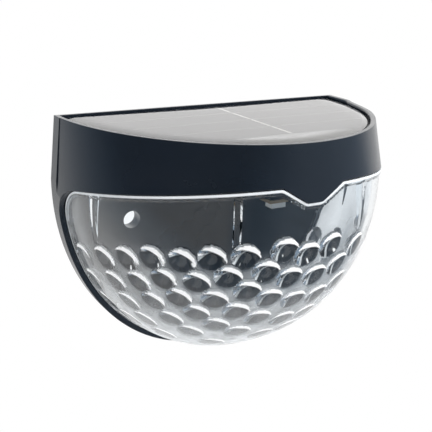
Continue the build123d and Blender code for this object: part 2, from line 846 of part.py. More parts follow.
# ---------------------------------------------------------------- leads
lead_top = board_top + lead_radius + lead_gap
terminal_front = base_back - switch_depth - terminal_length
first_terminal = switch_x - terminal_pitch
routes = {}
for side, name in ((-1, "panel_lead_black"), (1, "panel_lead_red")):
    x = panel_lead_x + side * lead_pitch / 2
    routes[name] = [
        (x, panel_lead_y, panel_under - lead_gap),
        (x, panel_lead_y, lead_top),
        (x, panel_lead_y + panel_lead_run, lead_top),
    ]
for row, name in ((0, "led_lead_red"), (1, "led_lead_black")):
    shift = row * lead_pitch
    back = board_mid_y + lead_pitch / 2 + shift
    x = led_lead_x + shift
    y = led_y + lead_pitch / 2 - shift
    routes[name] = [
        (board_right - led_pad_inset, back, board_top + lead_gap),
        (board_right - led_pad_inset, back, led_lead_z),
        (x, back, led_lead_z),
        (x, chamber_front - led_lead_wall - shift / 2, led_lead_z),
        (led_lead_corner + shift / 2, y, led_lead_z),
        (led_lead_end, y, led_lead_z),
        (led_lead_end, y, led_board_top + lead_gap),
    ]
first_y = terminal_front + lead_pitch / 2
second_y = first_y + lead_pitch
switch_pad_x = board_right - switch_pad_inset
routes["switch_lead_a"] = [
    (first_terminal - lead_radius, first_y, switch_z),
    (first_terminal - 4 * lead_radius, first_y, switch_z),
    (first_terminal - switch_lead_drop, first_y, lead_top),
    (switch_pad_x, first_y, lead_top),
]
routes["switch_lead_b"] = [
    (switch_x, second_y, switch_z + switch_lead_step),
    (switch_x, second_y, lead_top - lead_gap),
    (switch_pad_x, second_y, lead_top - lead_gap),
]
contact_edge = battery_y + contact_width / 2 + lead_gap
minus_x = battery_left - contact_thickness / 2
plus_x = battery_right + contact_thickness / 2
routes["battery_lead_minus"] = [
    (minus_x, contact_edge, battery_z),
    (minus_x, board_mid_y - 1.5, battery_z),
    (minus_x, board_mid_y - 1.5, board_under - lead_gap),
]
routes["battery_lead_plus"] = [
    (plus_x, contact_edge, battery_z - battery_lead_drop),
    (plus_x, contact_edge + 1.7, battery_z - battery_lead_drop),
    (board_right - led_pad_inset, board_mid_y - battery_pad_y, battery_z - battery_lead_drop),
    (board_right - led_pad_inset, board_mid_y - battery_pad_y, board_under - lead_gap),
]
for name, points in routes.items():
    with BuildPart() as lead:
        add(lead_form(points, 0.8 if name.startswith("battery") else lead_bend))
    save(lead, name, (0.6, 0.1, 0.1) if "red" in name or "plus" in name else (0.05, 0.05, 0.05))
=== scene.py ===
"""Looks of the half-round solar fence light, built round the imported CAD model."""

import math

import bpy
import numpy as np
from mathutils import Matrix, Vector


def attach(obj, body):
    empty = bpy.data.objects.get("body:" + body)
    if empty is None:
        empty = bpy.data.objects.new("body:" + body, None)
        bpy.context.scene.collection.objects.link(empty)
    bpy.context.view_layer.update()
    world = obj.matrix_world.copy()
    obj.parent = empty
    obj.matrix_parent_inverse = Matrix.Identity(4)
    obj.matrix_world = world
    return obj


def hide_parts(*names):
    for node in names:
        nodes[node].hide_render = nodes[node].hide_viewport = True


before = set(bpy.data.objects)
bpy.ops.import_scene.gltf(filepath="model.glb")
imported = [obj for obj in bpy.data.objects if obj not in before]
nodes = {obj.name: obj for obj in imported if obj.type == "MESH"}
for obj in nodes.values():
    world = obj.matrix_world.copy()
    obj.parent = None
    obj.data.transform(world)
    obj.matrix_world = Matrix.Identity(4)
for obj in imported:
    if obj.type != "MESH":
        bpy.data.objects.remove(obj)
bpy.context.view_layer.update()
MM = 0.001

# ---------------------------------------------------------------- sizes in mm, in the part's frame
LENS_HALF_WIDTH = 55.3
LENS_DEPTH = 66.78
LENS_HEIGHT = 66.1
LENS_POWER = 2.24
LENS_WALL = 2.0
LENS_GAP = 0.3
SHOULDER_Z = 16.5
RIM_TOP = 37.4
RIM_HALF_WIDTH = 56.0
RIM_DEPTH = 66.0
RIM_POWER = 1.97
EDGE_HEIGHT = 12.8
EDGE_SLOPE = 0.17
FLANGE = 5.0
CHEEK_RADIUS = 13.0
TAB_HALF_WIDTH = 10.9
TAB_DROP = 5.1
TAB_FLAT = 2.6
TAB_CORNER = 2.5
BEAD_WIDTH = 1.5
BEAD_HEIGHT = 0.35
RIB_STATIONS = (-53.2, -23.5, 23.5, 53.2)
RIB_WIDTH = 2.2
RIB_LENGTH = 17.0
RIB_DEPTH = 2.5
RIB_DRAFT = 0.45
DIMPLE_RADIUS = 4.6
DIMPLE_SLOPE = 38.5
DIMPLE_POWER = 1.8
# dimples read in the photo, row by row: column and row in its frame of 432 by 432 pixels
SEEN_DIMPLES = (
    (89, 253), (108, 256), (129.5, 256.5), (153.5, 256), (182.5, 259), (212, 257),
    (245, 255.5), (283, 249), (304.5, 252), (327.5, 243), (350, 242),
    (99, 276), (119, 278.5), (141.5, 279), (165, 276.5), (197, 279.5),
    (227.5, 275), (264.5, 269.5), (286.5, 275), (311, 272), (332.5, 261),
    (132, 297.5), (155.5, 297.5), (180, 294.5), (214.5, 296.5), (246, 288),
    (267, 294.5), (290, 295.5), (312, 290), (331, 277),
    (148, 314.5), (172.5, 314), (197, 309), (235, 307), (256, 313), (279, 313.5), (300, 307),
    (166, 328), (191, 326), (215.5, 320), (236, 326), (258, 328),
    (211, 336), (230, 338),
)
# four more at the lens's outline, where the wall is seen edge on, listed: degrees round the
# plan from the front, and degrees below the shoulder
OUTLINE_DIMPLES = ((-79.5, 41.0), (-78.5, 51.5), (-72.1, 59.0), (-43.9, 63.0))
MIRROR_SPACING = 7.4
FILL_SPACING = 8.5
# degrees: the right rear end stays clear past the first and above the second
CLEAR_ROUND = 54
CLEAR_BELOW = 24
GRID = 0.45
PANEL_EDGE = 3.0
PANEL_BACK = -1.3
PANEL_FACE = 36.9
GLAZE_DEPTH = 0.79
GLAZE_DROP = 0.5
GLAZE_REACH = 9.0
# parts of the lens painted milky white, standing in for light caught in the clear wall (frost and crescent
# highlights): how far they reach, and the heights where they start
PAINTED_CRESCENT_SHARE = 0.5
PAINTED_CRESCENT_START = 0.1
FLANGE_PAINTED_FROST_REACH = 14.0
LOW_PAINTED_FROST_TOP = -8.0
LOW_PAINTED_FROST_HEIGHT = 28.0
BETWEEN_PAINTED_FROST_TOP = 5.0
BETWEEN_PAINTED_FROST_HEIGHT = 16.0
BETWEEN_PAINTED_FROST_FRONT = 22.0
BETWEEN_PAINTED_FROST_FADE = 15.0


# ---------------------------------------------------------------- shader helpers
def material(name):
    mat = bpy.data.materials.new(name)
    mat.use_nodes = True
    tree = mat.node_tree
    tree.nodes.clear()
    out = tree.nodes.new("ShaderNodeOutputMaterial")
    shader = tree.nodes.new("ShaderNodeBsdfPrincipled")
    tree.links.new(shader.outputs[0], out.inputs[0])
    return mat, tree, shader


def noise(tree, scale, detail=4.0, rough=0.55, coords=None):
    node = tree.nodes.new("ShaderNodeTexNoise")
    node.inputs["Scale"].default_value = scale
    node.inputs["Detail"].default_value = detail
    node.inputs["Roughness"].default_value = rough
    if coords is None:
        coords = tree.nodes.new("ShaderNodeTexCoord").outputs["Object"]
    tree.links.new(coords, node.inputs["Vector"])
    return node.outputs["Fac"]


def remap(tree, value, low, high, start=0.3, end=0.7):
    node = tree.nodes.new("ShaderNodeMapRange")
    for key, number in (("From Min", start), ("From Max", end), ("To Min", low), ("To Max", high)):
        node.inputs[key].default_value = number
    tree.links.new(value, node.inputs["Value"])
    return node.outputs["Result"]


def blend_colours(tree, factor, first, second):
    node = tree.nodes.new("ShaderNodeMix")
    node.data_type = "RGBA"
    node.inputs[6].default_value = (*first, 1)
    node.inputs[7].default_value = (*second, 1)
    tree.links.new(factor, node.inputs[0])
    return node.outputs[2]


def bump(tree, shader, height, strength, distance):
    node = tree.nodes.new("ShaderNodeBump")
    node.inputs["Strength"].default_value = strength
    node.inputs["Distance"].default_value = distance
    tree.links.new(height, node.inputs["Height"])
    tree.links.new(node.outputs[0], shader.inputs["Normal"])
    return node


def grained(name, dark, light, rough=(0.4, 0.5), grain=900, patch=40, depth=0.15, soften=0.0, **fixed):
    """Moulded, plated or laminated surface: patchy colour, uneven gloss and fine grain."""
    mat, tree, shader = material(name)
    patches = noise(tree, patch)
    tree.links.new(blend_colours(tree, remap(tree, patches, 0, 1), dark, light), shader.inputs["Base Color"])
    tree.links.new(remap(tree, noise(tree, patch * 3), *rough), shader.inputs["Roughness"])
    height = bump(tree, shader, noise(tree, grain, 2.0), depth, 0.00005)
    if soften:
        edges = tree.nodes.new("ShaderNodeBevel")
        edges.samples = 6
        edges.inputs["Radius"].default_value = soften
        tree.links.new(edges.outputs[0], height.inputs["Normal"])
    for key, value in fixed.items():
        shader.inputs[key.replace("_", " ")].default_value = value
    return mat


def combine(tree, operation, first, second):
    node = tree.nodes.new("ShaderNodeMath")
    node.operation = operation
    tree.links.new(first, node.inputs[0])
    tree.links.new(second, node.inputs[1])
    return node.outputs[0]


def mix_shaders(tree, factor, first, second):
    node = tree.nodes.new("ShaderNodeMixShader")
    tree.links.new(factor, node.inputs[0])
    tree.links.new(first, node.inputs[1])
    tree.links.new(second, node.inputs[2])
    return node.outputs[0]


def finish_with(tree, shader):
    """Link a shader to the material's output."""
    output = [n for n in tree.nodes if n.type == "OUTPUT_MATERIAL"][0]
    tree.links.new(shader, output.inputs[0])


def attribute(tree, name):
    node = tree.nodes.new("ShaderNodeAttribute")
    node.attribute_name = name
    return node.outputs["Fac"]


# ---------------------------------------------------------------- camera
IMAGE_SIZE = 432
CAMERA_ANGLES = (-31, 17.706, 1.836)
CAMERA_PLACE = (-0.148805, -0.258056, 0.090901)
FOCAL_PIXELS = 844.63
SENSOR_WIDTH = 36.0


def camera_turn():
    """The camera's right, up and back directions, as the columns of a matrix."""
    azimuth, elevation, roll = (math.radians(angle) for angle in CAMERA_ANGLES)
    level_part = math.cos(elevation)
    back = Vector((math.sin(azimuth) * level_part, -math.cos(azimuth) * level_part, math.sin(elevation)))
    right = (-back).cross(Vector((0, 0, 1))).normalized()
    up = right.cross(-back)
    level = Matrix((right, up, back)).transposed()
    return level @ Matrix.Rotation(roll, 3, "Z")


def camera():
    data = bpy.data.cameras.new("camera")
    data.lens = round(FOCAL_PIXELS * SENSOR_WIDTH / IMAGE_SIZE, 2)
    data.sensor_width = SENSOR_WIDTH
    data.sensor_fit = "HORIZONTAL"
    data.clip_start = 0.01
    obj = bpy.data.objects.new("camera", data)
    obj.matrix_world = Matrix.Translation(Vector(CAMERA_PLACE)) @ camera_turn().to_4x4()
    bpy.context.scene.collection.objects.link(obj)
    bpy.context.scene.camera = obj


camera()


# ---------------------------------------------------------------- lens surface
def lens_radius(x, y):
    across, along = np.abs(x) / LENS_HALF_WIDTH, np.abs(y) / LENS_DEPTH
    return (across ** LENS_POWER + along ** LENS_POWER) ** (1 / LENS_POWER)


def lens_normal(x, y, z):
    r = np.maximum(lens_radius(x, y), 1e-6)
    below = z < SHOULDER_Z
    nx = r ** (1 - LENS_POWER) * np.abs(x) ** (LENS_POWER - 1) * np.sign(x) / LENS_HALF_WIDTH ** LENS_POWER
    ny = r ** (1 - LENS_POWER) * np.abs(y) ** (LENS_POWER - 1) * np.sign(y) / LENS_DEPTH ** LENS_POWER
    nz = np.where(below, (z - SHOULDER_Z) / LENS_HEIGHT ** 2, 0.0)
    nx, ny = (np.where(below, r * n, n) for n in (nx, ny))
    n = np.stack([nx, ny, nz], -1)
    return n / np.maximum(np.linalg.norm(n, axis=-1, keepdims=True), 1e-12)


def edge_z(y):
    return RIM_TOP - EDGE_HEIGHT - EDGE_SLOPE * (RIM_DEPTH + y) - LENS_GAP


def polygon_distance(px, pz, corners):
    """Signed distance to a convex polygon given clockwise or not, positive outside."""
    best = np.full(px.shape, 1e9)
    inside = np.ones(px.shape, bool)
    area = sum(a[0] * b[1] - b[0] * a[1] for a, b in zip(corners, corners[1:] + corners[:1]))
    for a, b in zip(corners, corners[1:] + corners[:1]):
        ex, ez = b[0] - a[0], b[1] - a[1]
        t = np.clip(((px - a[0]) * ex + (pz - a[1]) * ez) / (ex * ex + ez * ez), 0, 1)
        best = np.minimum(best, np.hypot(px - a[0] - t * ex, pz - a[1] - t * ez))
        side = (px - a[0]) * ez - (pz - a[1]) * ex
        inside &= (side * math.copysign(1, area)) <= 0
    return np.where(inside, -best, best)


def inset_polygon(corners, amount):
    """Convex polygon, anticlockwise, with every edge moved inwards."""
    lines = []
    for a, b in zip(corners, corners[1:] + corners[:1]):
        ex, ez = b[0] - a[0], b[1] - a[1]
        size = math.hypot(ex, ez)
        nx, nz = -ez / size, ex / size
        lines.append((nx, nz, nx * a[0] + nz * a[1] + amount))
    out = []
    for (a1, b1, c1), (a2, b2, c2) in zip(lines[-1:] + lines[:-1], lines):
        det = a1 * b2 - a2 * b1
        out.append(((c1 * b2 - c2 * b1) / det, (a1 * c2 - a2 * c1) / det))
    return out


TAB_EDGE = RIM_TOP - EDGE_HEIGHT
TAB = [
    (-TAB_HALF_WIDTH, TAB_EDGE + 20), (-TAB_HALF_WIDTH, TAB_EDGE), (-TAB_FLAT, TAB_EDGE - TAB_DROP),
    (TAB_FLAT, TAB_EDGE - TAB_DROP), (TAB_HALF_WIDTH, TAB_EDGE), (TAB_HALF_WIDTH, TAB_EDGE + 20),
]
TAB_CORE = inset_polygon(TAB, TAB_CORNER)


def edge_distance(x, y, z):
    """How far inside the lens's edge a point of the surface lies."""
    tilt = math.atan(EDGE_SLOPE)
    behind = -FLANGE - y
    below = (edge_z(y) - z) * math.cos(tilt)
    # rounded corner in the side view
    cy = -FLANGE - CHEEK_RADIUS
    cz = edge_z(cy) - CHEEK_RADIUS / math.cos(tilt)
    dy, dz = y - cy, z - cz
    past_side = dz > 0
    past_top = dy * math.cos(tilt) - dz * math.sin(tilt) > 0
    corner = CHEEK_RADIUS - np.hypot(dy, dz)
    body = np.where(past_side & past_top & (dy > 0), corner, np.minimum(behind, below))
    tab = polygon_distance(x, z, TAB_CORE) - TAB_CORNER - LENS_GAP
    tab = np.where(y < -RIM_DEPTH / 2, tab, 99.0)
    # small round where the tongue's sides meet the hood's edge
    k = 0.8
    mix = np.clip(0.5 + 0.5 * (tab - body) / k, 0, 1)
    return tab * (1 - mix) + body * mix - k * mix * (1 - mix)


def plan_point(t):
    c, s = math.cos(t), math.sin(t)
    return (
        -LENS_HALF_WIDTH * math.copysign(abs(c) ** (2 / LENS_POWER), c),
        -LENS_DEPTH * max(s, 0.0) ** (2 / LENS_POWER),
    )


def plan_stations():
    """Points of the lens's plan at even steps, with extra ones at the sides of each rib."""
    fine = np.array([plan_point(t) for t in np.linspace(0, math.pi, 6001)])
    run = np.concatenate([[0], np.cumsum(np.hypot(*np.diff(fine, axis=0).T))])
    count = int(run[-1] / GRID)
    marks = list(np.linspace(0, run[-1], count))
    rib_marks = []
    rib_runs = []
    for x in RIB_STATIONS:
        front = fine[:, 1] < -1
        centre = run[np.argmin(np.abs(fine[:, 0] - x) + 1e3 * ~front)]
        rib_runs.append(centre)
        for side in (-1, 1):
            for out in (-RIB_DRAFT / 2, RIB_DRAFT / 2):
                mark = centre + side * (RIB_WIDTH / 2 + out)
                marks = [m for m in marks if abs(m - mark) > GRID * 0.35 or m in rib_marks]
                marks.append(mark)
                rib_marks.append(mark)
    marks = np.array(sorted(marks))
    plan = np.stack([np.interp(marks, run, fine[:, k]) for k in (0, 1)], -1)
    return plan, marks, rib_runs


INSIDE = tuple(size - LENS_WALL for size in (LENS_HALF_WIDTH, LENS_DEPTH, LENS_HEIGHT))


def seen_angles(column, row):
    """Where a pixel's ray meets the inside of the wall, in degrees round the plan and below the shoulder."""
    half, depth, drop = INSIDE
    aim = ((column - IMAGE_SIZE / 2) / FOCAL_PIXELS, (IMAGE_SIZE / 2 - row) / FOCAL_PIXELS, -1)
    ray = unit(np.array(camera_turn()) @ aim)
    start = np.array(CAMERA_PLACE) / MM

    def level(distance):
        """Under 1 within the wall, and 1 on its inside."""
        x, y, z = (a + distance * b for a, b in zip(start, ray))
        plan = (np.abs(x) / half) ** LENS_POWER + (np.abs(y) / depth) ** LENS_POWER
        return plan ** (2 / LENS_POWER) + (np.maximum(SHOULDER_Z - z, 0) / drop) ** 2

    # halve the way from the camera to the ray's innermost point until it ends on the wall
    near, far = 0.0, 2 * np.linalg.norm(start)
    steps = np.linspace(near, far, 1200)
    far = steps[np.argmin(level(steps))]
    for _ in range(40):
        middle = (near + far) / 2
        if level(middle) < 1:
            far = middle
        else:
            near = middle
    x, y, z = start + far * ray
    below = min(max(SHOULDER_Z - z, 0) / drop, 1)
    return round(math.degrees(math.atan2(x / half, -y / depth)), 1), round(math.degrees(math.asin(below)), 1)


def dimple_centres():
    """Dimples placed as seen, others mirrored, none high at the right end, low gaps filled evenly."""
    half, depth, drop = INSIDE

    def place(lon, lat):
        a, b = math.radians(lon), math.radians(lat)
        d = np.array([half * math.sin(a), -depth * math.cos(a)])
        reach = (abs(d[0]) / half) ** LENS_POWER + (abs(d[1]) / depth) ** LENS_POWER
        d *= math.cos(b) * reach ** (-1 / LENS_POWER)
        p = np.array([d[0], d[1], SHOULDER_Z - drop * math.sin(b)])
        return p + LENS_WALL * lens_normal(*(p[k:k + 1] for k in range(3)))[0]

    points = []

    def take(lon, lat, spacing):
        p = place(lon, lat)
        if all(np.linalg.norm(p - q) > spacing for q in points):
            points.append(p)

    seen = [seen_angles(*pixel) for pixel in SEEN_DIMPLES] + list(OUTLINE_DIMPLES)
    for lon, lat in seen:
        take(lon, lat, 0)
    for lon, lat in seen:
        if lon < 0 and (lat > CLEAR_BELOW or -lon < CLEAR_ROUND):
            take(-lon, lat, MIRROR_SPACING)
    for lat in range(46, 88, 3):
        for lon in range(0, 88, 3):
            for side in (-1, 1):
                take(side * lon, lat, FILL_SPACING)
    return np.array(points)


def lens_mesh():
    plan, marks, rib_runs = plan_stations()
    top = 26.0
    drop_angles = np.linspace(0, math.pi / 2, 4001)
    inward, down = np.diff(np.cos(drop_angles)) * 60, np.diff(np.sin(drop_angles)) * LENS_HEIGHT
    side = np.concatenate([[0.0], np.cumsum(np.hypot(inward, down))])
    rows_up = int((top - SHOULDER_Z) / GRID)
    rows_down = int(side[-1] / GRID)
    angles = np.interp(np.linspace(0, side[-1] * 0.965, rows_down), side, drop_angles)
    rings = np.concatenate([np.ones(rows_up), np.cos(angles)])
    straight = np.linspace(top, SHOULDER_Z, rows_up, endpoint=False)
    levels = np.concatenate([straight, SHOULDER_Z - LENS_HEIGHT * np.sin(angles)])
    x = (rings[:, None] * plan[None, :, 0])
    y = (rings[:, None] * plan[None, :, 1])
    z = np.repeat(levels[:, None], len(plan), 1)
    rows, cols = x.shape
    run = np.repeat(marks[None, :], rows, 0)
    pts = np.stack([x, y, z, run], -1).reshape(-1, 4)
    i = np.arange(rows * cols).reshape(rows, cols)
    a, b, c, d = i[:-1, :-1].ravel(), i[1:, :-1].ravel(), i[1:, 1:].ravel(), i[:-1, 1:].ravel()
    tris = np.concatenate([np.stack([a, b, c], -1), np.stack([a, c, d], -1)])
    s = edge_distance(pts[:, 0], pts[:, 1], pts[:, 2])
    # snap points that all but lie on the edge, so that no sliver is cut
    s = np.where(np.abs(s) < 0.02, 0.0, s)
    return clip_patch(pts, tris, s) + (rib_runs,)


def clip_patch(pts, tris, s):
    """The triangles with s >= 0, those across s = 0 cut along it."""
    inside = s >= 0
    count = inside[tris].sum(1)
    whole = tris[count == 3]
    cut_key, new_points, made = {}, [], []
    base = len(pts)

    def crossing(p, q):
        key = (min(p, q), max(p, q))
        if key not in cut_key:
            t = s[p] / (s[p] - s[q])
            cut_key[key] = base + len(new_points)
            new_points.append(pts[p] + t * (pts[q] - pts[p]))
        return cut_key[key]

    for tri in tris[(count > 0) & (count < 3)]:
        loop = []
        for p, q in ((tri[0], tri[1]), (tri[1], tri[2]), (tri[2], tri[0])):
            if inside[p]:
                loop.append(p)
            if inside[p] != inside[q]:
                edge = crossing(p, q)
                if not loop or loop[-1] != edge:
                    loop.append(edge)
        for k in range(1, len(loop) - 1):
            made.append((loop[0], loop[k], loop[k + 1]))
    pts = np.concatenate([pts, np.array(new_points)])
    tris = np.concatenate([whole, np.array(made)])
    used, flat = np.unique(tris, return_inverse=True)
    return pts[used], flat.reshape(-1, 3)


def border_edges(tris):
    """Directed border edges of a patch."""
    edges = np.concatenate([tris[:, [0, 1]], tris[:, [1, 2]], tris[:, [2, 0]]])
    key = edges.min(1).astype(np.int64) * (edges.max() + 1) + edges.max(1)
    order, counts = np.unique(key, return_counts=True)
    single = order[counts == 1]
    return edges[np.isin(key, single)]


def unit(vectors):
    return vectors / np.maximum(np.linalg.norm(vectors, axis=-1, keepdims=True), 1e-12)


def lens_painted_frost(p, near):
    """Painted light as milky white frost on the outer and the inner surface: by the flange, low down and
    between dimples.
    """
    outside = np.clip((near / DIMPLE_RADIUS - 0.92) / 0.1, 0, 1)
    by_flange = np.clip(1 - (-FLANGE - p[:, 1]) / FLANGE_PAINTED_FROST_REACH, 0, 1)
    low = 2.2 * np.clip((LOW_PAINTED_FROST_TOP - p[:, 2]) / LOW_PAINTED_FROST_HEIGHT, 0, 1) * (0.4 + 0.6 * outside)
    between = np.clip((BETWEEN_PAINTED_FROST_TOP - p[:, 2]) / BETWEEN_PAINTED_FROST_HEIGHT, 0, 1) * outside
    between *= np.clip((-p[:, 1] - BETWEEN_PAINTED_FROST_FRONT) / BETWEEN_PAINTED_FROST_FADE, 0, 1)
    return [np.maximum(np.maximum(by_flange, low), share * between) for share in (1.0, 2.4)]


def store(mesh, name, outer, inner):
    """A number for each point of the lens, outer surface first."""
    layer = mesh.attributes.new(name, "FLOAT", "POINT")
    layer.data.foreach_set("value", np.concatenate([outer, inner]).astype(np.float32))


def make_lens():
    pts, tris, rib_runs = lens_mesh()
    p = pts[:, :3]
    run = pts[:, 3]
    n = lens_normal(p[:, 0], p[:, 1], p[:, 2])
    s = edge_distance(p[:, 0], p[:, 1], p[:, 2])
    # dimples: round caps that stand out on the inside
    centres = dimple_centres()
    near = np.full(len(p), 1e9)
    which = np.zeros(len(p), int)
    for k, c in enumerate(centres):
        away = ((p - c) ** 2).sum(1)
        which = np.where(away < near, k, which)
        near = np.minimum(near, away)
    near = np.sqrt(near)
    in_cap = near < DIMPLE_RADIUS
    fade = np.clip((s - BEAD_WIDTH) / 1.2, 0, 1)
    steps = np.linspace(0, DIMPLE_RADIUS, 400)
    fall = np.tan(math.radians(DIMPLE_SLOPE) * (1 - (1 - steps / DIMPLE_RADIUS) ** DIMPLE_POWER))
    height = np.concatenate([[0], np.cumsum((fall[1:] + fall[:-1]) / 2 * np.diff(steps))])
    cap = np.where(in_cap, np.interp(near, steps, height[-1] - height) * fade, 0)
    aside = p - centres[which]
    aside -= n * (aside * n).sum(1)[:, None]
    slope = np.where(in_cap[:, None], -unit(aside) * (np.interp(near, steps, fall) * fade)[:, None], 0)
    # painted highlight: each dimple's flank that faces up and to the middle is painted white where light
    # from above would catch it
    uphill = np.stack([-p[:, 0] / LENS_HALF_WIDTH, np.zeros(len(p)), np.ones(len(p))], -1)
    uphill -= n * (uphill * n).sum(1)[:, None]
    turned = (unit(aside) * unit(uphill)).sum(1)
    turned -= PAINTED_CRESCENT_START
    painted_crescent = (near / DIMPLE_RADIUS - 1 + PAINTED_CRESCENT_SHARE * np.clip(turned, 0, 1)) / 0.1
    painted_crescent = np.clip(painted_crescent, 0, 1) * np.clip(turned / 0.15, 0, 1) * fade * in_cap
    bead = BEAD_HEIGHT * np.clip((BEAD_WIDTH + 0.25 - s) / 0.5, 0, 1)
    outer = p + n * bead[:, None]
    # ribs thicken the wall on the inside
    depth = np.zeros(len(p))
    below = edge_z(p[:, 1]) - p[:, 2]
    for centre in rib_runs:
        wedge = np.clip((RIB_LENGTH - below) / RIB_LENGTH, 0, 1)
        taper = 0.25 + (RIB_DEPTH - 0.25) * wedge
        taper = np.where(below > RIB_LENGTH, np.clip(0.25 - (below - RIB_LENGTH) * 0.5, 0, 0.25), taper)
        flank = np.clip((RIB_WIDTH / 2 + RIB_DRAFT / 2 - np.abs(run - centre)) / RIB_DRAFT, 0, 1)
        depth = np.maximum(depth, taper * flank)
    ribbed = depth > cap
    inner = p - n * (LENS_WALL + np.maximum(cap, depth))[:, None]
    # the inner edge stays in the planes of the outer one
    edge = border_edges(tris)
    rim = np.unique(edge)
    flat_back = (np.abs(p[rim, 1] + FLANGE) < 0.3)
    inner[rim[flat_back], 1] = p[rim[flat_back], 1]
    outer[rim[flat_back], 1] = p[rim[flat_back], 1]
    on_top = (edge_z(p[rim, 1]) - p[rim, 2]) < 0.3
    chosen = rim[on_top]
    inner[chosen, 2] = np.minimum(edge_z(inner[chosen, 1]), inner[chosen, 2] + 0.3)
    count = len(p)
    verts = np.concatenate([outer, inner])
    walls = []
    for u, v in edge:
        walls += [(v, u, u + count), (v, u + count, v + count)]
    faces = np.concatenate([tris, tris[:, ::-1] + count, np.array(walls)])
    mesh = bpy.data.meshes.new("lens_shell")
    mesh.from_pydata((verts * MM).tolist(), [], faces.tolist())
    mesh.update()
    mesh.shade_smooth()
    # exact normals, so that the curved surfaces bend light evenly
    inner_normal = -unit(n + slope)
    flat = unit(np.cross(verts[faces[:, 1]] - verts[faces[:, 0]], verts[faces[:, 2]] - verts[faces[:, 0]]))
    corner = np.concatenate([n, inner_normal])[faces]
    is_wall = np.arange(len(faces)) >= 2 * len(tris)
    special = np.concatenate([bead > 0, ribbed | (bead > 0)])
    crease = is_wall | special[faces].any(1)
    corner[crease] = flat[crease][:, None, :]
    mesh.normals_split_custom_set(corner.reshape(-1, 3).tolist())
    obj = bpy.data.objects.new("lens_shell", mesh)
    bpy.context.scene.collection.objects.link(obj)
    # painted light: white frost masks for the outer and the inner surface
    painted_frosts = lens_painted_frost(p, near)
    store(mesh, "painted_frost", *painted_frosts)
    # painted highlight: white crescents on the dimples' upper flanks, fainter on the outer surface
    store(mesh, "painted_crescent", 0.8 * painted_crescent, painted_crescent)
    store(mesh, "edge_distance", s, np.where(s < 0.05, s, 9.0))
    return obj


def clear_plastic():
    """Clear moulded plastic, polished but for its bead and cut edge; the white frost there and in bands, and
    the white crescents on the dimples, are painted light.
    """
    mat, tree, shader = material("clear_plastic")
    shader.inputs["Base Color"].default_value = (0.95, 0.98, 1.0, 1)
    shader.inputs["Transmission Weight"].default_value = 1.0
    shader.inputs["IOR"].default_value = 1.585
    tree.links.new(remap(tree, noise(tree, 60), 0.0, 0.02), shader.inputs["Roughness"])
    frosted_painted_light = tree.nodes.new("ShaderNodeBsdfPrincipled")
    frosted_painted_light.inputs["Base Color"].default_value = (0.93, 0.97, 1.0, 1)
    frosted_painted_light.inputs["Transmission Weight"].default_value = 0.15
    frosted_painted_light.inputs["IOR"].default_value = 1.585
    tree.links.new(remap(tree, noise(tree, 300), 0.3, 0.5), frosted_painted_light.inputs["Roughness"])
    bump(tree, frosted_painted_light, noise(tree, 900, 2.0), 0.1, 0.0001)
    # painted light: white frost by the flange, low down and between the dimples stands in for light seen in
    # the clear wall
    painted_frost_mask = combine(tree, "MULTIPLY", attribute(tree, "painted_frost"), remap(tree, noise(tree, 160), 0.14, 0.36))
    # painted highlight: white frost on the bead and cut edge stands in for the bright line the bead catches
    by_edge = remap(tree, attribute(tree, "edge_distance"), 1.0, 0.0, 0.55, 0.9)
    painted_light_mask = combine(tree, "MAXIMUM", by_edge, painted_frost_mask)
    wall = mix_shaders(tree, painted_light_mask, shader.outputs[0], frosted_painted_light.outputs[0])
    # painted highlight: a near-white shader mixed onto the dimples' upper flanks by the crescent mask
    painted_highlight_shader = tree.nodes.new("ShaderNodeBsdfPrincipled")
    painted_highlight_shader.inputs["Base Color"].default_value = (0.98, 0.99, 1.0, 1)
    painted_highlight_shader.inputs["Transmission Weight"].default_value = 0.08
    tree.links.new(remap(tree, noise(tree, 300), 0.4, 0.6), painted_highlight_shader.inputs["Roughness"])
    flank = remap(tree, attribute(tree, "painted_crescent"), 0.0, 0.95)
    finish_with(tree, mix_shaders(tree, flank, wall, painted_highlight_shader.outputs[0]))
    return mat


lens = make_lens()
lens.data.materials.append(clear_plastic())
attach(lens, "light")
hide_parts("lens")

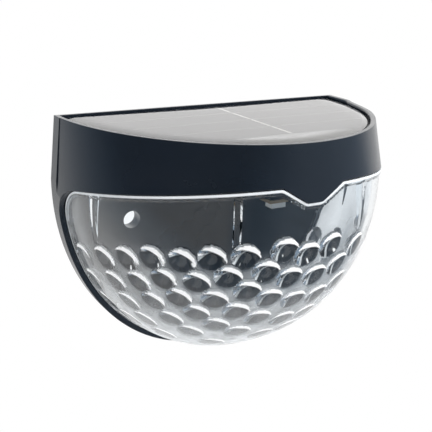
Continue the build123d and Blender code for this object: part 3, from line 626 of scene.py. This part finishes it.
# ---------------------------------------------------------------- materials of the CAD nodes
finishes = {
    "black_plastic": grained(
        "black_plastic", (0.007, 0.0115, 0.0185), (0.01, 0.015, 0.0235), (0.2, 0.28), 700, 30, 0.02, 0.0004
    ),
    "panel_board": grained("panel_laminate", (0.03, 0.035, 0.04), (0.045, 0.05, 0.055), (0.4, 0.55)),
    "cells": grained("cell_silicon", (0.05, 0.052, 0.065), (0.075, 0.075, 0.09), (0.3, 0.4), 500, 25, 0.1),
    "tinned": grained("tinned_metal", (0.7, 0.69, 0.66), (0.8, 0.79, 0.76), (0.3, 0.45), Metallic=1.0),
    "ribbon": grained("ribbon_solder", (0.85, 0.84, 0.8), (0.95, 0.94, 0.9), (0.6, 0.7), 300, 500),
    "steel": grained("plated_steel", (0.55, 0.55, 0.56), (0.68, 0.68, 0.7), (0.28, 0.4), Metallic=1.0),
    "sealant": grained("sealant", (0.02, 0.02, 0.02), (0.03, 0.03, 0.03), (0.5, 0.7)),
    "brown_board": grained("brown_board", (0.30, 0.22, 0.13), (0.42, 0.32, 0.2), (0.45, 0.6), 1500, 80, 0.2),
    "green_board": grained("green_board", (0.02, 0.12, 0.05), (0.03, 0.16, 0.07), (0.35, 0.5)),
    "led_white": grained("led_white", (0.86, 0.86, 0.84), (0.92, 0.92, 0.9), (0.35, 0.45), 1500, 200, 0.05),
    "phosphor": grained("led_phosphor_resin", (0.85, 0.68, 0.2), (0.92, 0.78, 0.3), (0.3, 0.4)),
    "chip": grained("chip_resin", (0.02, 0.02, 0.022), (0.035, 0.035, 0.04), (0.45, 0.6)),
    "ceramic": grained("component_coating", (0.5, 0.38, 0.22), (0.6, 0.48, 0.3), (0.35, 0.5)),
    "sleeve": grained("battery_sleeve", (0.03, 0.2, 0.11), (0.05, 0.27, 0.15), (0.25, 0.35)),
    "brass": grained("brass", (0.7, 0.55, 0.25), (0.8, 0.66, 0.33), (0.3, 0.4), Metallic=1.0),
    "red_wire": grained("red_insulation", (0.45, 0.03, 0.025), (0.55, 0.05, 0.04), (0.3, 0.45)),
    "black_wire": grained("black_insulation", (0.012, 0.012, 0.012), (0.02, 0.02, 0.02), (0.3, 0.45)),
}
dress = {
    "black_plastic": ["housing", "chamber_cover", "switch_base", "switch_knob"],
    "panel_board": ["panel_board"],
    "cells": ["solar_cells"],
    "ribbon": ["bus_ribbons"],
    "tinned": ["battery_cap", "battery_spring", "battery_contact_minus", "battery_contact_plus"],
    "steel": ["cover_screws", "board_screws", "switch_screws", "switch_frame"],
    "sealant": ["panel_sealant", "cover_gasket"],
    "brown_board": ["led_board"],
    "green_board": ["control_board"],
    "led_white": ["led"],
    "phosphor": ["led_phosphor"],
    "chip": ["controller_chip", "resistors"],
    "ceramic": ["inductor", "capacitor"],
    "sleeve": ["battery_cell"],
    "brass": ["switch_terminals"],
    "red_wire": ["panel_lead_red", "led_lead_red", "battery_lead_plus", "switch_lead_b"],
    "black_wire": ["panel_lead_black", "led_lead_black", "battery_lead_minus", "switch_lead_a"],
}
for finish, members in dress.items():
    for name in members:
        nodes[name].data.materials.clear()
        nodes[name].data.materials.append(finishes[finish])


# ---------------------------------------------------------------- clear resin over the cells
def make_glaze():
    """Poured resin over the panel, flat but for its edge, which runs down to the rim's gap."""
    half, depth = RIM_HALF_WIDTH - PANEL_EDGE, RIM_DEPTH - PANEL_EDGE
    outline = []
    for t in np.linspace(0, math.pi, 181):
        c, q = math.cos(t), max(math.sin(t), 0.0)
        x = -half * math.copysign(abs(c) ** (2 / RIM_POWER), c)
        outline.append((x, PANEL_BACK - (depth + PANEL_BACK) * q ** (2 / RIM_POWER)))
    back = np.linspace(half, -half, 62)[1:-1]
    outline += [(x, PANEL_BACK) for x in back]
    outline = np.array(outline)
    middle = np.array([0.0, -0.42 * depth])
    nearest = np.hypot(*(outline - middle).T).min()
    bands = ((0, 0.03, 7), (0.045, 0.4, 22), (0.44, 0.96, 12))
    rings = np.concatenate([np.linspace(*band) for band in bands])
    verts, ring_count = [], len(outline)
    for ring in rings:
        points = middle + (outline - middle) * (1 - ring)
        gap = np.minimum(ring * np.hypot(*(outline - middle).T), ring * nearest * 2.2)
        drop = GLAZE_DROP * np.clip(1 - gap / GLAZE_REACH, 0, 1) ** 2.6
        verts += [(x, y, PANEL_FACE - d) for (x, y), d in zip(points, drop)]
    faces = []
    for k in range(len(rings) - 1):
        for a in range(ring_count):
            b = (a + 1) % ring_count
            low, high = k * ring_count, (k + 1) * ring_count
            faces.append((low + a, low + b, high + b, high + a))
    faces.append(tuple((len(rings) - 1) * ring_count + a for a in range(ring_count)))
    base = len(verts)
    verts += [(x, y, PANEL_FACE - GLAZE_DEPTH) for x, y in outline]
    for a in range(ring_count):
        b = (a + 1) % ring_count
        faces.append((base + a, base + b, b, a))
    faces.append(tuple(base + a for a in reversed(range(ring_count))))
    mesh = bpy.data.meshes.new("panel_glaze")
    mesh.from_pydata([tuple(v * MM for v in p) for p in verts], [], faces)
    mesh.update()
    smooth = [len(f) == 4 and max(f) < base for f in faces]
    mesh.polygons.foreach_set("use_smooth", smooth)
    obj = bpy.data.objects.new("panel_glaze", mesh)
    bpy.context.scene.collection.objects.link(obj)
    mat, tree, shader = material("panel_resin")
    shader.inputs["Base Color"].default_value = (0.9, 0.91, 0.92, 1)
    shader.inputs["Transmission Weight"].default_value = 1.0
    shader.inputs["IOR"].default_value = 1.5
    tree.links.new(remap(tree, noise(tree, 50), 0.05, 0.1), shader.inputs["Roughness"])
    bump(tree, shader, noise(tree, 120, 2.0), 0.05, 0.0004)
    mesh.materials.append(mat)
    return obj


glaze = make_glaze()
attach(glaze, "light")
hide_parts("panel_cover")


# ---------------------------------------------------------------- studio
def studio():
    scene = bpy.context.scene
    scene.view_settings.view_transform = "Standard"
    world = bpy.data.worlds.new("studio")
    scene.world = world
    world.use_nodes = True
    tree = world.node_tree
    tree.nodes.clear()

    def background(strength):
        node = tree.nodes.new("ShaderNodeBackground")
        if isinstance(strength, float):
            node.inputs[0].default_value = (1, 1, 1, 1)
            node.inputs[1].default_value = strength
        else:
            tree.links.new(strength, node.inputs[1])
            tree.links.new(blend_colours(tree, strength, (0.5, 0.8, 1.15), (1, 1, 1)), node.inputs[0])
        return node.outputs[0]

    # white all round, but the studio in front of the light is darker: gloss and glass show it
    direction = tree.nodes.new("ShaderNodeTexCoord").outputs["Generated"]

    def along(axis):
        dot = tree.nodes.new("ShaderNodeVectorMath")
        dot.operation = "DOT_PRODUCT"
        dot.inputs[1].default_value = axis
        tree.links.new(direction, dot.inputs[0])
        return dot.outputs["Value"]

    table = remap(tree, along((0.0, 0.6, -0.8)), 0.0, 1.0, 0.1, 0.7)
    wall = remap(tree, along((0.6, 0.8, 0.0)), 0.0, 1.0, 0.3, 0.75)
    dark_corner = remap(tree, along((-0.85, -0.52, 0.0)), 0.5, 0.03, 0.15, 0.75)
    in_gloss = combine(tree, "MAXIMUM", combine(tree, "MAXIMUM", table, wall), dark_corner)
    in_glass = remap(tree, along((0.49, -0.8165, -0.304)), 1.0, 0.3, 0.6, 0.85)
    path = tree.nodes.new("ShaderNodeLightPath")
    look = mix_shaders(tree, path.outputs["Is Glossy Ray"], background(0.8), background(in_gloss))
    look = mix_shaders(tree, path.outputs["Is Transmission Ray"], look, background(in_glass))
    look = mix_shaders(tree, path.outputs["Is Camera Ray"], look, background(1.0))
    out = tree.nodes.new("ShaderNodeOutputWorld")
    tree.links.new(look, out.inputs[0])

    def softbox(name, place, target, size, power):
        data = bpy.data.lights.new(name, "AREA")
        data.shape = "RECTANGLE"
        data.size, data.size_y = size
        data.energy = power
        obj = bpy.data.objects.new(name, data)
        obj.location = place
        obj.rotation_euler = (Vector(target) - Vector(place)).to_track_quat("-Z", "Y").to_euler()
        obj.visible_camera = False
        obj.visible_transmission = False
        scene.collection.objects.link(obj)
        return obj

    softbox("overhead", (0.1, -0.1, 0.7), (0, -0.03, 0), (0.8, 0.8), 4.5)
    softbox("right_side", (0.7, -0.35, 0.25), (0, -0.03, 0), (0.5, 0.6), 4).visible_glossy = False
    softbox("behind", (0.5, 0.62, 0.3), (0, -0.03, 0.03), (0.9, 0.45), 0.6).data.color = (1, 0.97, 0.94)

    # floor under the light, white to the camera
    mesh = bpy.data.meshes.new("floor")
    size, level = 3.0, -0.12
    corners = [(x * size, y * size, level) for x, y in ((-1, -1), (1, -1), (1, 1), (-1, 1))]
    mesh.from_pydata(corners, [], [(0, 1, 2, 3)])
    floor = bpy.data.objects.new("floor", mesh)
    scene.collection.objects.link(floor)
    mat, tree, shader = material("floor_paper")
    shader.inputs["Base Color"].default_value = (0.9, 0.9, 0.9, 1)
    shader.inputs["Roughness"].default_value = 0.9
    glow = tree.nodes.new("ShaderNodeEmission")
    path = tree.nodes.new("ShaderNodeLightPath")
    seen = path.outputs["Is Camera Ray"]
    for kind in ("Is Glossy Ray", "Is Transmission Ray"):
        seen = combine(tree, "MAXIMUM", seen, path.outputs[kind])
    finish_with(tree, mix_shaders(tree, seen, shader.outputs[0], glow.outputs[0]))
    mesh.materials.append(mat)
    floor.visible_glossy = False
    floor.visible_transmission = False


studio()
